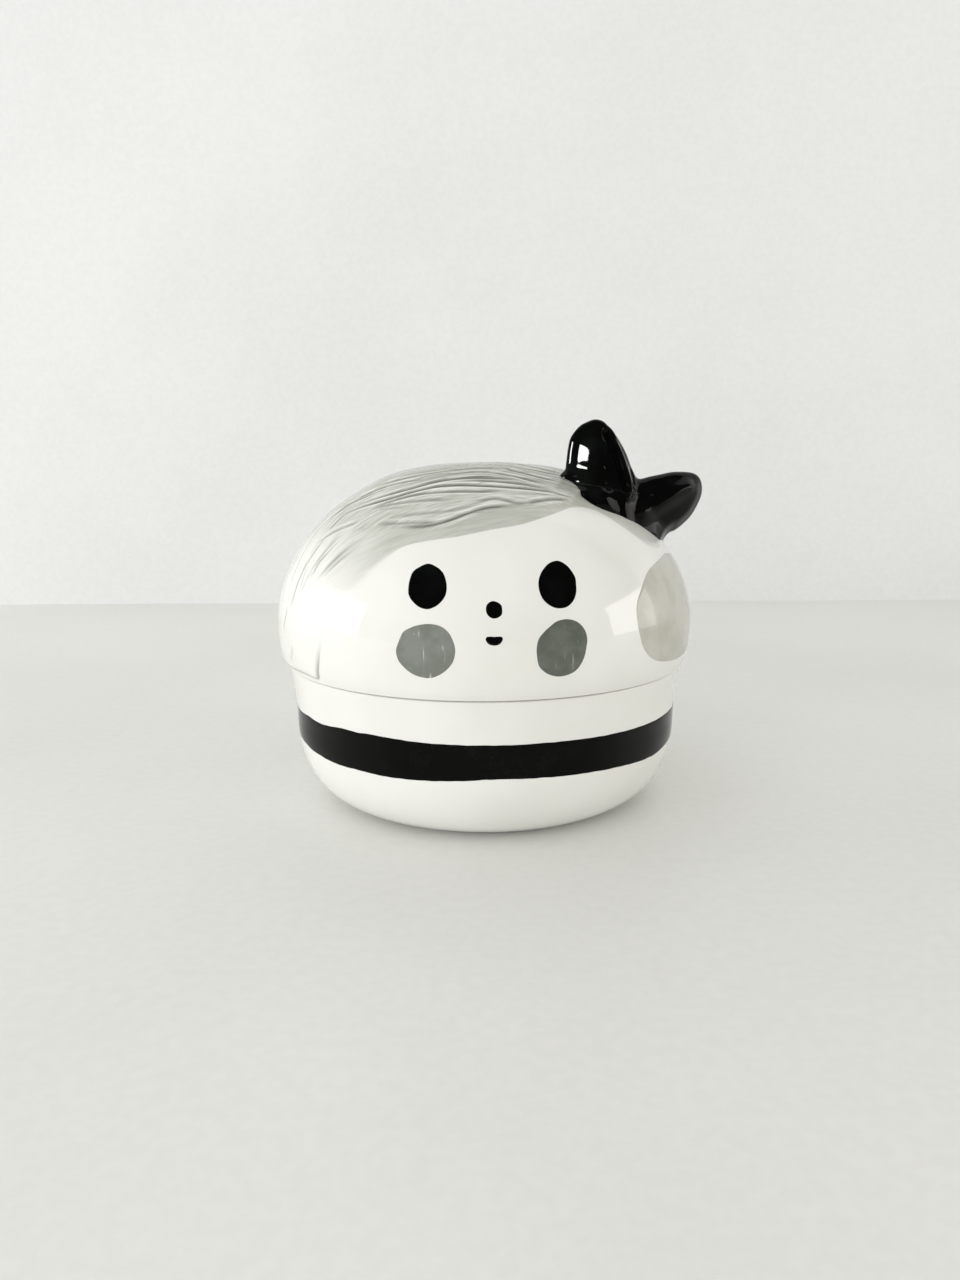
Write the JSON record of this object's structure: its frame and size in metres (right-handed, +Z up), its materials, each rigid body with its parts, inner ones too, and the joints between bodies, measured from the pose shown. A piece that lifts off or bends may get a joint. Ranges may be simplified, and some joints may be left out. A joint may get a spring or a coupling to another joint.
{
  "type": "trinket box",
  "caption": "Round lidded porcelain trinket box with a domed doll's-head lid, swept hair, a bow and a black banded bowl.",
  "frame": {"origin": "centre of the flat foot, on the surface that the box stands on", "axes": "+Z up along the axis of the bowl and lid, -Y towards the side that the face looks to, +X to the viewer's right of the face"},
  "size_m": [0.1072, 0.106, 0.0942],
  "materials": {
    "porcelain": "clear glossy glaze over white porcelain",
    "black_glaze": "glossy black glaze",
    "hair_wash": "thin grey wash pooled in carved grooves under clear glaze",
    "cheek_glaze": "mid grey underglaze, hand painted, glossy"
  },
  "bodies": {
    "bowl": {"base_bowl": "porcelain", "black_band": "black_glaze"},
    "lid": {"lid_shell": "porcelain", "hair": "hair_wash", "side_lock": "hair_wash", "hair_bow": "black_glaze", "eye_left": "black_glaze", "eye_right": "black_glaze", "nose": "black_glaze", "mouth": "black_glaze", "cheek_left": "cheek_glaze", "cheek_right": "cheek_glaze"}
  },
  "joints": [
    {"name": "lid_lift", "type": "slide", "parent": "bowl", "child": "lid", "axis": [0, 0, 1], "range_m": [0, 0.06]}
  ]
}
